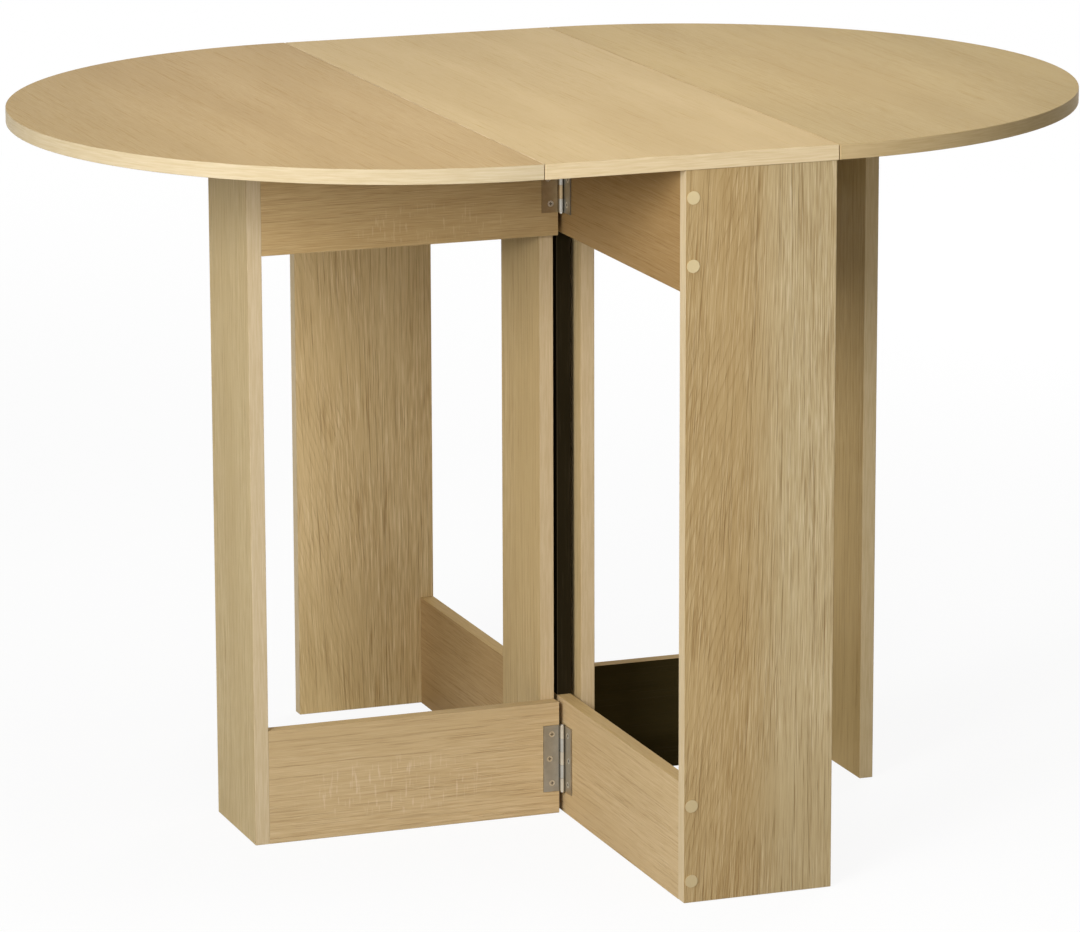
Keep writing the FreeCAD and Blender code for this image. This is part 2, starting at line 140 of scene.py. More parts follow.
# Levels of a smooth step: from and to, and the values it gives there where these aren't 0 and 1.
CLEAR_LEVELS = (0.40, 0.60)
STRENGTH_LEVELS = (0.35, 0.65, 0.45, 1.25)
PORE_LEVELS = (0.57, 0.70)
PORE_IN_RING_LEVELS = (0.0, 0.7, 0.30, 1.0)
CUT_LEVELS = (0.59, 0.67)
CUT_STRENGTH_LEVELS = (0.40, 0.60, 0.30, 0.85)
FLECK_LEVELS = (0.58, 0.70)
CLOUD_LEVELS = (0.25, 0.75)
EDGE_LEVELS = (0.90, 0.985, 1.0, 0.0)
BAND_LEVELS = (0.28, 0.72)
CORNER_LEVELS = (0.25, 0.60)
RUBBED_LEVELS = (0.35, 0.65, 0.15, 0.60)
STAINED_SIDE_LEVELS = (0.5, 0.9)
STAIN_GRAIN_LEVELS = (0.52, 0.75, 0.0, 0.12)
STAIN_CORNER_LEVELS = (0.85, 0.98, 1.0, 0.0)
STAIN_ROUGHNESS = (0.3, 0.7, 0.48, 0.66)
MIDDLE_LEVELS = (0.3, 0.7)
TIMBER_FLECK_LEVELS = (0.6, 0.8, 0.0, 0.3)
TIMBER_ROUGHNESS = (0.3, 0.7, 0.62, 0.78)
SPECK_LEVELS = (0.62, 0.75)
RECESS_SHADE_LEVELS = (0.35, 0.85)
CAP_ROUGHNESS = (0.3, 0.7, 0.36, 0.52)

# Shape of the grain, in metres, and shares of its parts in the colour, roughness and height of a board.
FIBRE_SHARE = 0.18
FIBRE_WAVER = 0.0025
RING_WAVER = 0.006
RING_SHARPNESS = 6.0
RING_START = 0.08
LEAN_LENGTH = 0.20
LEAN_FADE = 0.09
TURN_SEED_STEP = 10.0
SHORT_STREAK_SHARE = 0.58
LIGHT_STREAK_LEVELS = (0.50, 0.34)
LIGHT_STREAK_SHARE = 0.48
DARK_STREAK_LEVELS = (0.50, 0.66)
DARK_STREAK_SHARE = 0.56
RING_SHARE = 0.50
PORE_SHARE = 0.50
STAINED_PORE_SHARE = 0.25
FLECK_STRENGTH = 0.24
FLECK_FADE = (0.25, 1.1)
PORE_ROUGHNESS = 0.22
STREAK_ROUGHNESS = 0.20
STREAK_HEIGHT = 0.8
BAND_HEIGHT = 0.25
SPECK_SHARE = 0.25
SPECK_ROUGHNESS = 0.12
BRUSH_ROUGHNESS = 0.25
FIGURE_INPUTS = ("Bend", "Lean", "Calm", "Ring", "Seed")
FIGURE_OUTPUTS = ("Rings", "Pores", "Streaks", "Cloud", "Flecks")

# Bumps: strength, and height in metres.
BOARD_BUMP = (0.5, 0.0005)
STAIN_BUMP = (0.3, 0.0002)
TIMBER_BUMP = (0.4, 0.0002)
STEEL_BUMP = (0.22, 0.0001)
CAP_BUMP = (0.25, 0.0001)

AXES = {"x": 0, "y": 1, "z": 2}

# Boards: which way the grain runs, how much it shows, and the tones that the photograph shows.
TOP = dict(across="x", along="y", through="z", contrast=0.28, gloss=0.36)
PANEL = dict(across="x", along="z", through="y", bend=0.03)
UPRIGHT = dict(across="y", along="z", through="x", bend=0.018, contrast=1.0)
# The darker band tones of the spine and the rails are painted shade under the table top.
SPINE = dict(across="z", along="y", through="x", bend=0.03, contrast=0.7, band=(0.94, 0.85, 0.64))
RAIL = dict(across="z", along="x", through="y", bend=0.03, contrast=0.8, band=(0.96, 0.89, 0.74))
STILE = dict(UPRIGHT, tone=(0.85, 0.85, 0.85), band=(0.97, 0.93, 0.88))
# Rail tones: the top rails' tone is painted shade under the table top, and the bottom rails' tone is the lit
# copy of the same board.
SHADED_UPPER_TONE = (0.85, 0.81, 0.78)
LIT_LOWER_TONE = (0.88, 0.88, 0.96)
BOARDS = {
    # The centre top's brighter band tone is painted light on its front rim.
    "centre_top": dict(TOP, bend=0.05, seed=3.1, tone=(0.83, 0.82, 0.81), band=(1.15, 1.14, 1.11)),
    # The leaves' darkening toward their outer ends, the right leaf's darkening toward its front and its
    # darker band tone are painted shade.
    "left_leaf": dict(
        TOP, bend=0.09, seed=5.7, tone=(0.72, 0.67, 0.61), band=(0.96, 0.985, 1.01),
        drift=(("x", -0.54, -0.30, (0.90, 0.91, 0.89), PLAIN),)),
    "right_leaf": dict(
        TOP, bend=0.07, seed=8.2, tone=(0.77, 0.75, 0.68), band=(0.90, 0.84, 0.70),
        drift=(("x", 0.30, 0.54, PLAIN, (0.92, 0.93, 0.90)),
               ("y", -0.34, -0.02, (0.91, 0.92, 0.93), PLAIN))),
    # The front panel's darkening toward its foot is painted shade.
    "front_panel": dict(
        PANEL, seed=2.4, lean=0.34, calm=0.115, ring=0.0072, contrast=1.6, tone=(0.82, 0.83, 0.85),
        drift=(("x", 0.04, 0.11, (0.93, 0.88, 0.82), (1.01, 1.05, 1.14)),
               ("z", 0.03, 0.22, (0.91, 0.90, 0.88), PLAIN))),
    # The rear panel's higher tone is painted light, and its darkening at the foot and under the top is
    # painted shade.
    "rear_panel": dict(
        PANEL, seed=7.9, lean=-0.34, calm=-0.03, ring=0.0062, contrast=1.5, tone=(1.07, 1.08, 1.12),
        drift=(("z", 0.03, 0.22, (0.90, 0.90, 0.86), PLAIN),
               ("z", 0.54, 0.68, PLAIN, (0.91, 0.89, 0.82)))),
    # The spine top rail's dark tone is painted shade under the table top.
    "spine_top_rail": dict(SPINE, seed=11.3, tone=(0.59, 0.51, 0.43)),
    # The darker rear half of the spine's bottom rail is painted shade.
    "spine_bottom_rail": dict(
        SPINE, seed=12.6, tone=LIT_LOWER_TONE, drift=(("y", -0.04, 0.12, PLAIN, (0.84, 0.76, 0.64)),)),
    "left_gate_leg": dict(UPRIGHT, seed=14.2, tone=(0.88, 0.93, 1.01), band=(0.95, 0.95, 0.96)),
    # The right leg's darker tone is painted shade under the table top.
    "right_gate_leg": dict(UPRIGHT, seed=15.8, tone=(0.74, 0.73, 0.67), band=(1.02, 1.00, 0.92)),
    "left_gate_stile": dict(STILE, seed=16.4),
    "right_gate_stile": dict(STILE, seed=17.5),
    "left_gate_top_rail": dict(
        RAIL, seed=18.9, stained=1, tone=SHADED_UPPER_TONE, flecks=((0.626, 0.022), (-0.150, 0.095))),
    "left_gate_bottom_rail": dict(
        RAIL, seed=19.6, stained=1, tone=LIT_LOWER_TONE, flecks=((0.048, 0.034), (-0.190, 0.120))),
    "right_gate_top_rail": dict(RAIL, seed=21.1, stained=-1, tone=SHADED_UPPER_TONE),
    "right_gate_bottom_rail": dict(RAIL, seed=22.7, stained=-1, tone=LIT_LOWER_TONE),
}
POST_SEED = 23.0


def plug(tree, socket, value):
    """Links a socket to the input, or sets the input's own value."""
    if isinstance(value, bpy.types.NodeSocket):
        tree.links.new(value, socket)
    else:
        socket.default_value = value


def add(tree, kind, inputs=None, **settings):
    """Adds a node with its settings and inputs."""
    made = tree.nodes.new(kind)
    for name, value in settings.items():
        setattr(made, name, value)
    for name, value in (inputs or {}).items():
        plug(tree, made.inputs[name], value)
    return made


def calc(tree, operation, *values, clamp=False):
    """A math node's result."""
    made = add(tree, "ShaderNodeMath", operation=operation, use_clamp=clamp)
    for place, value in enumerate(values):
        plug(tree, made.inputs[place], value)
    return made.outputs[0]


def ramp(tree, value, low, high, to_low=0.0, to_high=1.0):
    """A smooth step of the value between two levels."""
    made = add(tree, "ShaderNodeMapRange", interpolation_type="SMOOTHSTEP")
    for place, item in enumerate((value, low, high, to_low, to_high)):
        plug(tree, made.inputs[place], item)
    return made.outputs[0]


def blend(tree, share, first, second):
    """Two colours mixed by a share."""
    made = add(tree, "ShaderNodeMix", data_type="RGBA")
    plug(tree, made.inputs[0], share)
    for place, item in ((6, first), (7, second)):
        plug(tree, made.inputs[place], (*item, 1.0) if isinstance(item, tuple) else item)
    return made.outputs[2]


def tinted(tree, colour, tint):
    """A colour times a tint."""
    made = add(tree, "ShaderNodeMix", data_type="RGBA", blend_type="MULTIPLY")
    for place, item in ((0, 1.0), (6, colour), (7, tint)):
        plug(tree, made.inputs[place], item)
    return made.outputs[2]


def noise(tree, place, stretch, seed, detail=2.0, rough=0.5):
    """A noise stretched differently along each direction."""
    scaled = add(tree, "ShaderNodeVectorMath", operation="MULTIPLY")
    plug(tree, scaled.inputs[0], place)
    scaled.inputs[1].default_value = stretch
    made = add(tree, "ShaderNodeTexNoise", noise_dimensions="4D")
    plug(tree, made.inputs["Vector"], scaled.outputs[0])
    plug(tree, made.inputs["W"], seed)
    for name, value in (("Scale", 1.0), ("Detail", detail), ("Roughness", rough)):
        made.inputs[name].default_value = value
    return made.outputs[0]


def centred(tree, value):
    """A value between 0 and 1, moved to lie about 0."""
    return calc(tree, "SUBTRACT", value, 0.5)


def leaning(tree, across, along, lean, calm, turn):
    """How far leaning grain has moved across a board, and how strongly this turn of the grain shows.

    Grain leans by so much per length until the calm place across the board, where it has turned straight.
    """
    step = calc(tree, "FRACT", calc(tree, "MULTIPLY_ADD", along, 1.0 / LEAN_LENGTH, turn))
    shift = calc(tree, "MULTIPLY", centred(tree, step), LEAN_LENGTH)
    zone = ramp(tree, across, calc(tree, "SUBTRACT", calm, LEAN_FADE), calm, 1.0, 0.0)
    shift = calc(tree, "MULTIPLY", calc(tree, "MULTIPLY", shift, lean), zone)
    from_middle = calc(tree, "ABSOLUTE", calc(tree, "MULTIPLY_ADD", step, 2.0, -1.0))
    return shift, calc(tree, "SUBTRACT", 1.0, from_middle)


def grain_lines(tree, place, shift, bend, ring, seed):
    """Ring lines, pores and streaks of a board; the fibres follow a share of the ring lines' shift."""
    parts = add(tree, "ShaderNodeSeparateXYZ", {0: place}).outputs
    wide = centred(tree, noise(tree, place, BEND_STRETCH, seed, detail=1.0, rough=0.4))
    fine = centred(tree, noise(tree, place, WAVER_STRETCH, seed))
    fibre = calc(tree, "MULTIPLY_ADD", shift, -FIBRE_SHARE, parts[0])
    fibre = calc(tree, "MULTIPLY_ADD", fine, FIBRE_WAVER, fibre)
    fibre = calc(tree, "MULTIPLY_ADD", wide, calc(tree, "MULTIPLY", bend, FIBRE_SHARE), fibre)
    grain = add(tree, "ShaderNodeCombineXYZ", {0: fibre, 1: parts[1], 2: parts[2]}).outputs[0]

    bent = calc(tree, "MULTIPLY_ADD", wide, bend, calc(tree, "SUBTRACT", parts[0], shift))
    bent = calc(tree, "MULTIPLY_ADD", fine, RING_WAVER, bent)
    phase = calc(tree, "FRACT", calc(tree, "DIVIDE", bent, ring))
    early = calc(tree, "POWER", calc(tree, "SUBTRACT", 1.0, phase), RING_SHARPNESS)
    rings = calc(tree, "MULTIPLY", early, ramp(tree, phase, 0.0, RING_START))
    clear = ramp(tree, noise(tree, place, CLEAR_STRETCH, seed, detail=1.0), *CLEAR_LEVELS)
    rings = calc(tree, "MULTIPLY", rings, clear)

    short = noise(tree, grain, SHORT_STREAK_STRETCH, seed, detail=1.0)
    long = noise(tree, grain, LONG_STREAK_STRETCH, seed, detail=1.0, rough=0.6)
    long = calc(tree, "MULTIPLY", long, 1.0 - SHORT_STREAK_SHARE)
    streaks = calc(tree, "MULTIPLY_ADD", short, SHORT_STREAK_SHARE, long)
    strength = ramp(tree, noise(tree, grain, STRENGTH_STRETCH, seed, detail=1.0), *STRENGTH_LEVELS)
    streaks = calc(tree, "MULTIPLY", centred(tree, streaks), strength)

    pores = ramp(tree, noise(tree, grain, PORE_STRETCH, seed, detail=1.0), *PORE_LEVELS)
    pores = calc(tree, "MULTIPLY", pores, ramp(tree, rings, *PORE_IN_RING_LEVELS))
    cuts = ramp(tree, noise(tree, grain, CUT_STRETCH, seed, detail=1.0), *CUT_LEVELS)
    cuts = calc(tree, "MULTIPLY", cuts, ramp(tree, short, *CUT_STRENGTH_LEVELS))
    return rings, calc(tree, "MAXIMUM", pores, cuts), streaks


def oak_figure(name, turns):
    """The figure of a sawn oak board: streaks and pores along the fibres, bent ring lines, rays across them.

    Grain that leans is drawn in turns that fade into each other along the board.
    """
    tree = bpy.data.node_groups.new(name, "ShaderNodeTree")
    tree.interface.new_socket("Place", in_out="INPUT", socket_type="NodeSocketVector")
    for item in FIGURE_INPUTS:
        tree.interface.new_socket(item, in_out="INPUT", socket_type="NodeSocketFloat")
    for item in FIGURE_OUTPUTS:
        tree.interface.new_socket(item, in_out="OUTPUT", socket_type="NodeSocketFloat")
    given = add(tree, "NodeGroupInput").outputs
    place = given["Place"]
    parts = add(tree, "ShaderNodeSeparateXYZ", {0: place}).outputs
    sums = [0.0, 0.0, 0.0]
    power = 0.0
    for turn in turns:
        shift, share = 0.0, 1.0
        if len(turns) > 1:
            shift, share = leaning(tree, parts[0], parts[1], given["Lean"], given["Calm"], turn)
        seed = calc(tree, "ADD", given["Seed"], TURN_SEED_STEP * turn)
        lines = grain_lines(tree, place, shift, given["Bend"], given["Ring"], seed)
        sums = [calc(tree, "MULTIPLY_ADD", line, share, total) for line, total in zip(lines, sums)]
        power = calc(tree, "MULTIPLY_ADD", share, share, power)
    level = calc(tree, "SQRT", power)
    rings, pores, streaks = [calc(tree, "DIVIDE", total, level) for total in sums]
    streaks = calc(tree, "ADD", streaks, 0.5)
    cloud = noise(tree, place, CLOUD_STRETCH, given["Seed"], detail=3.0)
    flecks = ramp(tree, noise(tree, place, FLECK_STRETCH, given["Seed"], detail=1.0), *FLECK_LEVELS)
    result = add(tree, "NodeGroupOutput")
    for item, value in zip(FIGURE_OUTPUTS, (rings, pores, streaks, cloud, flecks)):
        plug(tree, result.inputs[item], value)
    return tree


STRAIGHT_FIGURE = oak_figure("straight_oak", (0.0,))
LEANING_FIGURE = oak_figure("leaning_oak", (0.0, 0.5))


def new_material(name, gleam=0.5):
    """An empty node material with its shader; gleam is the strength of its clear reflections."""
    made = bpy.data.materials.new(name)
    made.use_nodes = True
    tree = made.node_tree
    tree.nodes.clear()
    shader = add(tree, "ShaderNodeBsdfPrincipled")
    shader.inputs["Specular IOR Level"].default_value = gleam
    add(tree, "ShaderNodeOutputMaterial", {"Surface": shader.outputs[0]})
    return made, tree, shader


def own_place(tree):
    """The object's own coordinates, the same split by axis, and its surface direction split by axis."""
    given = add(tree, "ShaderNodeTexCoord").outputs
    place = add(tree, "ShaderNodeSeparateXYZ", {0: given["Object"]}).outputs
    facing = add(tree, "ShaderNodeSeparateXYZ", {0: given["Normal"]}).outputs
    return given["Object"], place, facing


def finish_surface(tree, shader, colour, rough, height, bump, invert=False):
    """Gives a shader its colour, its roughness and its small heights."""
    strength, distance = bump
    made = add(tree, "ShaderNodeBump", {"Strength": strength, "Distance": distance, "Height": height},
               invert=invert)
    for name, value in (("Base Color", colour), ("Roughness", rough), ("Normal", made.outputs[0])):
        plug(tree, shader.inputs[name], value)


def toned(colour, tone):
    """A colour seen through a board's tone, which on some boards carries painted light and shade."""
    return tuple(channel * share for channel, share in zip(colour, tone))


def face_colour(tree, shown, contrast, tone):
    """The colour of a board's face from its figure."""
    light, line = toned(OAK_LIGHT, tone), toned(RING_TONE, tone)
    cloud = ramp(tree, shown["Cloud"], *CLOUD_LEVELS)
    colour = blend(tree, cloud, toned(OAK_LOW, tone), toned(OAK_HIGH, tone))
    pale = ramp(tree, shown["Streaks"], *LIGHT_STREAK_LEVELS, 0.0, LIGHT_STREAK_SHARE * contrast)
    colour = blend(tree, pale, colour, light)
    dark = ramp(tree, shown["Streaks"], *DARK_STREAK_LEVELS, 0.0, DARK_STREAK_SHARE * contrast)
    colour = blend(tree, dark, colour, line)
    rings = calc(tree, "MULTIPLY", shown["Rings"], RING_SHARE * contrast, clamp=True)
    colour = blend(tree, rings, colour, line)
    pores = calc(tree, "MULTIPLY", shown["Pores"], PORE_SHARE * contrast, clamp=True)
    return blend(tree, pores, colour, toned(PORE_TONE, tone))


def pale_rays(tree, shown, places, patch):
    """How strongly pale rays show in an oval patch: its middle and half width in two directions."""
    sides = [calc(tree, "DIVIDE", calc(tree, "SUBTRACT", place, middle), half)
             for place, (middle, half) in zip(places, patch)]
    away = calc(tree, "ADD", *[calc(tree, "POWER", side, 2.0) for side in sides])
    return calc(tree, "MULTIPLY", shown["Flecks"], ramp(tree, away, *FLECK_FADE, FLECK_STRENGTH, 0.0))


def oak_board(node, across, along, through, bend=0.03, lean=0.0, calm=0.0, ring=0.0085, seed=1.0,
              flecks=None, contrast=1.0, stained=0, gloss=0.43, tone=PLAIN, band=PLAIN, drift=()):
    """Oak-effect board with a pale band on its edges.

    Stained gives the side whose face is dark; flecks gives the middle and half width, across and along the
    grain, of a patch of pale rays; drift gives changes of tone from place to place along an axis, most of
    them painted shade. On some boards the tone and band carry painted light and shade.
    """
    made, tree, shader = new_material(node + "_oak", BOARD_GLEAM)
    shader.inputs["Specular Tint"].default_value = (*BOARD_GLEAM_TINT, 1.0)
    whole, place, facing = own_place(tree)
    side, length, depth = (place[AXES[axis]] for axis in (across, along, through))
    facing_out = facing[AXES[through]]
    board_place = add(tree, "ShaderNodeCombineXYZ", {0: side, 1: length, 2: depth}).outputs[0]
    figure = add(tree, "ShaderNodeGroup", node_tree=LEANING_FIGURE if lean else STRAIGHT_FIGURE)
    plug(tree, figure.inputs["Place"], board_place)
    for name, value in zip(FIGURE_INPUTS, (bend, lean, calm, ring, seed)):
        figure.inputs[name].default_value = value
    shown = figure.outputs

    colour = face_colour(tree, shown, contrast, tone)
    if flecks:
        rays = pale_rays(tree, shown, (side, length), flecks)
        colour = blend(tree, rays, colour, toned(FLECK_TONE, tone))
    # Most drifts are painted shade: darker at the boards' feet, under the top, toward the leaves' ends and
    # on the spine's rear bottom rail.
    for axis, start, end, first, second in drift:
        tint = blend(tree, ramp(tree, place[AXES[axis]], start, end), first, second)
        colour = tinted(tree, colour, tint)

    flat = calc(tree, "ABSOLUTE", facing_out)
    edge = ramp(tree, flat, *EDGE_LEVELS)
    layers = [BAND_STRETCH] * 3
    layers[AXES[through]] = BAND_LAYER_STRETCH
    streak = noise(tree, whole, tuple(layers), seed, detail=3.0, rough=0.6)
    banding = blend(tree, ramp(tree, streak, *BAND_LEVELS), toned(BAND_LOW, band), toned(BAND_HIGH, band))
    colour = blend(tree, edge, colour, banding)
    corner = calc(tree, "MULTIPLY", edge, ramp(tree, flat, *CORNER_LEVELS))
    rubbed = ramp(tree, noise(tree, whole, RUBBED_STRETCH, seed), *RUBBED_LEVELS)
    colour = blend(tree, calc(tree, "MULTIPLY", corner, rubbed), colour, WORN_TONE)
    if stained:
        dark = ramp(tree, calc(tree, "MULTIPLY", facing_out, float(stained)), *STAINED_SIDE_LEVELS)
        stain = blend(tree, ramp(tree, shown["Cloud"], *MIDDLE_LEVELS), FACE_STAIN_LOW, FACE_STAIN_HIGH)
        stain = blend(tree, calc(tree, "MULTIPLY", shown["Pores"], STAINED_PORE_SHARE), stain, STAIN_WORN)
        colour = blend(tree, dark, colour, stain)

    rough = calc(tree, "MULTIPLY_ADD", shown["Pores"], PORE_ROUGHNESS, gloss)
    rough = calc(tree, "MULTIPLY_ADD", centred(tree, shown["Streaks"]), STREAK_ROUGHNESS, rough)
    height = calc(tree, "MULTIPLY_ADD", shown["Streaks"], STREAK_HEIGHT, shown["Pores"])
    height = calc(tree, "MULTIPLY", height, calc(tree, "SUBTRACT", 1.0, edge))
    height = calc(tree, "MULTIPLY_ADD", streak, BAND_HEIGHT, height)
    finish_surface(tree, shader, colour, rough, height, BOARD_BUMP, invert=True)
    return made


def stained_board(node, seed):
    """Board stained nearly black, with its grain just showing and its corners rubbed brown."""
    made, tree, shader = new_material(node + "_stain", BOARD_GLEAM)
    whole, _, facing = own_place(tree)
    grain = noise(tree, whole, STAIN_GRAIN_STRETCH, seed, detail=3.0, rough=0.6)
    cloud = noise(tree, whole, STAIN_CLOUD_STRETCH, seed)
    colour = blend(tree, cloud, STAIN_LOW, STAIN_HIGH)
    colour = blend(tree, ramp(tree, grain, *STAIN_GRAIN_LEVELS), colour, STAIN_WORN)
    flattest = calc(tree, "MAXIMUM", *[calc(tree, "ABSOLUTE", facing[axis]) for axis in (0, 1)])
    worn = calc(tree, "MULTIPLY", ramp(tree, flattest, *STAIN_CORNER_LEVELS), cloud)
    colour = blend(tree, worn, colour, STAIN_WORN)
    finish_surface(tree, shader, colour, ramp(tree, grain, *STAIN_ROUGHNESS), grain, STAIN_BUMP)
    return made


def plain_wood(name, low, high, stretch, seed):
    """Bare solid timber of the hidden blocks and dowels."""
    made, tree, shader = new_material(name)
    whole = own_place(tree)[0]
    grain = noise(tree, whole, stretch, seed, detail=3.0, rough=0.6)
    fleck = noise(tree, whole, TIMBER_FLECK_STRETCH, seed, detail=1.0)
    colour = blend(tree, ramp(tree, grain, *MIDDLE_LEVELS), low, high)
    colour = blend(tree, ramp(tree, fleck, *TIMBER_FLECK_LEVELS), colour, RING_TONE)
    finish_surface(tree, shader, colour, ramp(tree, grain, *TIMBER_ROUGHNESS), grain, TIMBER_BUMP)
    return made


def plated_steel(name, low, high, brushed, gloss, seed):
    """Plated steel: cloudy plating, fine brush lines, duller specks, and painted shade in its recesses."""
    made, tree, shader = new_material(name)
    whole = own_place(tree)[0]
    lines = noise(tree, whole, brushed, seed, detail=3.0, rough=0.6)
    cloud = noise(tree, whole, PLATING_STRETCH, seed, detail=3.0)
    specks = ramp(tree, noise(tree, whole, SPECK_STRETCH, seed, detail=1.0), *SPECK_LEVELS)
    colour = blend(tree, ramp(tree, cloud, *MIDDLE_LEVELS), low, high)
    colour = blend(tree, calc(tree, "MULTIPLY", specks, SPECK_SHARE), colour, low)
    # Painted shade: the steel is darkened where nearby surfaces occlude it.
    recess = add(tree, "ShaderNodeAmbientOcclusion", {"Distance": RECESS_SHADE_REACH}, samples=RECESS_SHADE_SAMPLES)
    colour = blend(tree, ramp(tree, recess.outputs["AO"], *RECESS_SHADE_LEVELS), RECESS_SHADE, colour)
    shader.inputs["Metallic"].default_value = 1.0
    rough = calc(tree, "MULTIPLY_ADD", centred(tree, lines), BRUSH_ROUGHNESS, gloss)
    rough = calc(tree, "MULTIPLY_ADD", specks, SPECK_ROUGHNESS, rough)
    finish_surface(tree, shader, colour, rough, lines, STEEL_BUMP)
    return made


def moulded_plastic(name, low, high, seed):
    """Moulded cover caps: fine spark texture, slight colour drift, and painted shade darkening them near the
    foot like the boards.
    """
    made, tree, shader = new_material(name)
    whole, place, _ = own_place(tree)
    spark = noise(tree, whole, SPARK_STRETCH, seed)
    cloud = noise(tree, whole, DRIFT_STRETCH, seed)
    colour = blend(tree, cloud, low, high)
    # Painted shade: darker toward the floor.
    foot = blend(tree, ramp(tree, place[2], *CAP_FOOT_HEIGHTS), CAP_FOOT_SHADE, PLAIN)
    colour = tinted(tree, colour, foot)
    finish_surface(tree, shader, colour, ramp(tree, spark, *CAP_ROUGHNESS), spark, CAP_BUMP)
    return made


def dress(node, material):
    """Gives a CAD node its material."""
    for slot in NODES[node].material_slots:
        slot.material = material


def outer_edges():
    """Marks the edges where two outer sides of a board meet, round or straight, for rounding."""
    tree = bpy.data.node_groups.new("outer_edges", "GeometryNodeTree")
    for name, kind in (("Geometry", "Geometry"), ("Middle", "Vector"), ("Radius", "Float")):
        tree.interface.new_socket(name, in_out="INPUT", socket_type="NodeSocket" + kind)
    tree.interface.new_socket("Geometry", in_out="OUTPUT", socket_type="NodeSocketGeometry")
    given = add(tree, "NodeGroupInput").outputs
    corners = add(tree, "GeometryNodeBoundBox", {"Geometry": given["Geometry"]}).outputs
    spot = add(tree, "GeometryNodeInputPosition").outputs[0]

    def gap(first, second):
        away = add(tree, "ShaderNodeVectorMath", operation="SUBTRACT")
        plug(tree, away.inputs[0], first)
        plug(tree, away.inputs[1], second)
        return add(tree, "ShaderNodeSeparateXYZ", {0: away.outputs[0]}).outputs

    from_low, from_high = gap(spot, corners["Min"]), gap(corners["Max"], spot)
    count = 0.0
    for axis in range(3):
        nearest = calc(tree, "MINIMUM", from_low[axis], from_high[axis])
        count = calc(tree, "ADD", count, calc(tree, "LESS_THAN", nearest, EDGE_REACH))
    away = gap(spot, given["Middle"])
    reach = calc(tree, "SQRT", calc(
        tree, "MULTIPLY_ADD", away[0], away[0], calc(tree, "POWER", away[1], 2.0)))
    off_round = calc(tree, "ABSOLUTE", calc(tree, "SUBTRACT", reach, given["Radius"]))
    count = calc(tree, "ADD", count, calc(tree, "LESS_THAN", off_round, ROUND_REACH))
    sharp = calc(tree, "GREATER_THAN", add(tree, "GeometryNodeInputMeshEdgeAngle").outputs[0], SHARP_ANGLE)
    outer = calc(tree, "MULTIPLY", sharp, calc(tree, "GREATER_THAN", count, MORE_THAN_ONE))
    marked = add(tree, "GeometryNodeStoreNamedAttribute", data_type="FLOAT", domain="EDGE")
    plug(tree, marked.inputs["Geometry"], given["Geometry"])
    marked.inputs["Name"].default_value = "bevel_weight_edge"
    plug(tree, marked.inputs["Value"], outer)
    result = add(tree, "NodeGroupOutput")
    plug(tree, result.inputs["Geometry"], marked.outputs[0])
    return tree


OUTER_EDGES = outer_edges()


def soften(node, middle=(0.0, 0.0, 0.0), radius=0.0):
    """Rounds a board's outer edges a little; a half-round board gives the middle and radius of its rim."""
    piece = NODES[node]
    weld = piece.modifiers.new("weld", "WELD")
    weld.merge_threshold = WELD_REACH
    flat = piece.modifiers.new("flat", "DECIMATE")
    flat.decimate_type = "DISSOLVE"
    flat.angle_limit = FLAT_ANGLE
    marks = piece.modifiers.new("marks", "NODES")
    marks.node_group = OUTER_EDGES
    inputs = [item for item in OUTER_EDGES.interface.items_tree if item.in_out == "INPUT"]
    names = {item.name: item.identifier for item in inputs}
    marks[names["Middle"]] = middle
    marks[names["Radius"]] = radius
    rounding = piece.modifiers.new("rounding", "BEVEL")
    rounding.width = BOARD_ROUND
    rounding.segments = ROUND_STEPS
    rounding.limit_method = "WEIGHT"
    rounding.use_clamp_overlap = False
    even = piece.modifiers.new("even", "WEIGHTED_NORMAL")
    even.weight = NORMAL_WEIGHT


for board, facts in BOARDS.items():
    dress(board, oak_board(board, **facts))
    if board in RIM_SIDES:
        soften(board, (RIM_SIDES[board] * RIM_OFFSET, 0.0, 0.0), RIM_RADIUS)
    else:
        soften(board)
dress("spine_post", stained_board("spine_post", POST_SEED))
soften("spine_post")

# Finishes by the ending of a node's name; a later, longer ending replaces an earlier one.
HINGE_STEEL = plated_steel("hinge_steel", STEEL_LOW, STEEL_HIGH, UPRIGHT_BRUSH, HINGE_ROUGHNESS, 31.0)
# Lower hinge base leaves: steel with a painted reflection of the wood.
WOOD_REFLECTING_STEEL = plated_steel("wood_reflecting_steel", WOOD_REFLECTION_LOW, WOOD_REFLECTION_HIGH, UPRIGHT_BRUSH, HINGE_ROUGHNESS, 29.0)
# Upper hinge gate leaves: steel with painted shade and a painted reflection of the wood.
SHADED_REFLECTING_STEEL = plated_steel("shaded_reflecting_steel", SHADED_WOOD_REFLECTION_LOW, SHADED_WOOD_REFLECTION_HIGH, UPRIGHT_BRUSH, HINGE_ROUGHNESS, 30.0)
FLAP_STEEL = plated_steel("flap_steel", STEEL_LOW, STEEL_HIGH, LENGTHWISE_BRUSH, HINGE_ROUGHNESS, 32.0)
SCREW_STEEL = plated_steel("screw_steel", SCREW_LOW, SCREW_HIGH, EVEN_BRUSH, SCREW_ROUGHNESS, 33.0)
PIN_STEEL = plated_steel("pin_steel", SCREW_LOW, SCREW_HIGH, UPRIGHT_BRUSH, PIN_ROUGHNESS, 34.0)
CAP_PLASTIC = moulded_plastic("cap_plastic", CAP_LOW, CAP_HIGH, 35.0)
DOWEL_WOOD = plain_wood("dowel_wood", DOWEL_LOW, DOWEL_HIGH, DOWEL_STRETCH, 36.0)
BLOCK_WOOD = plain_wood("block_wood", BLOCK_LOW, BLOCK_HIGH, BLOCK_STRETCH, 37.0)
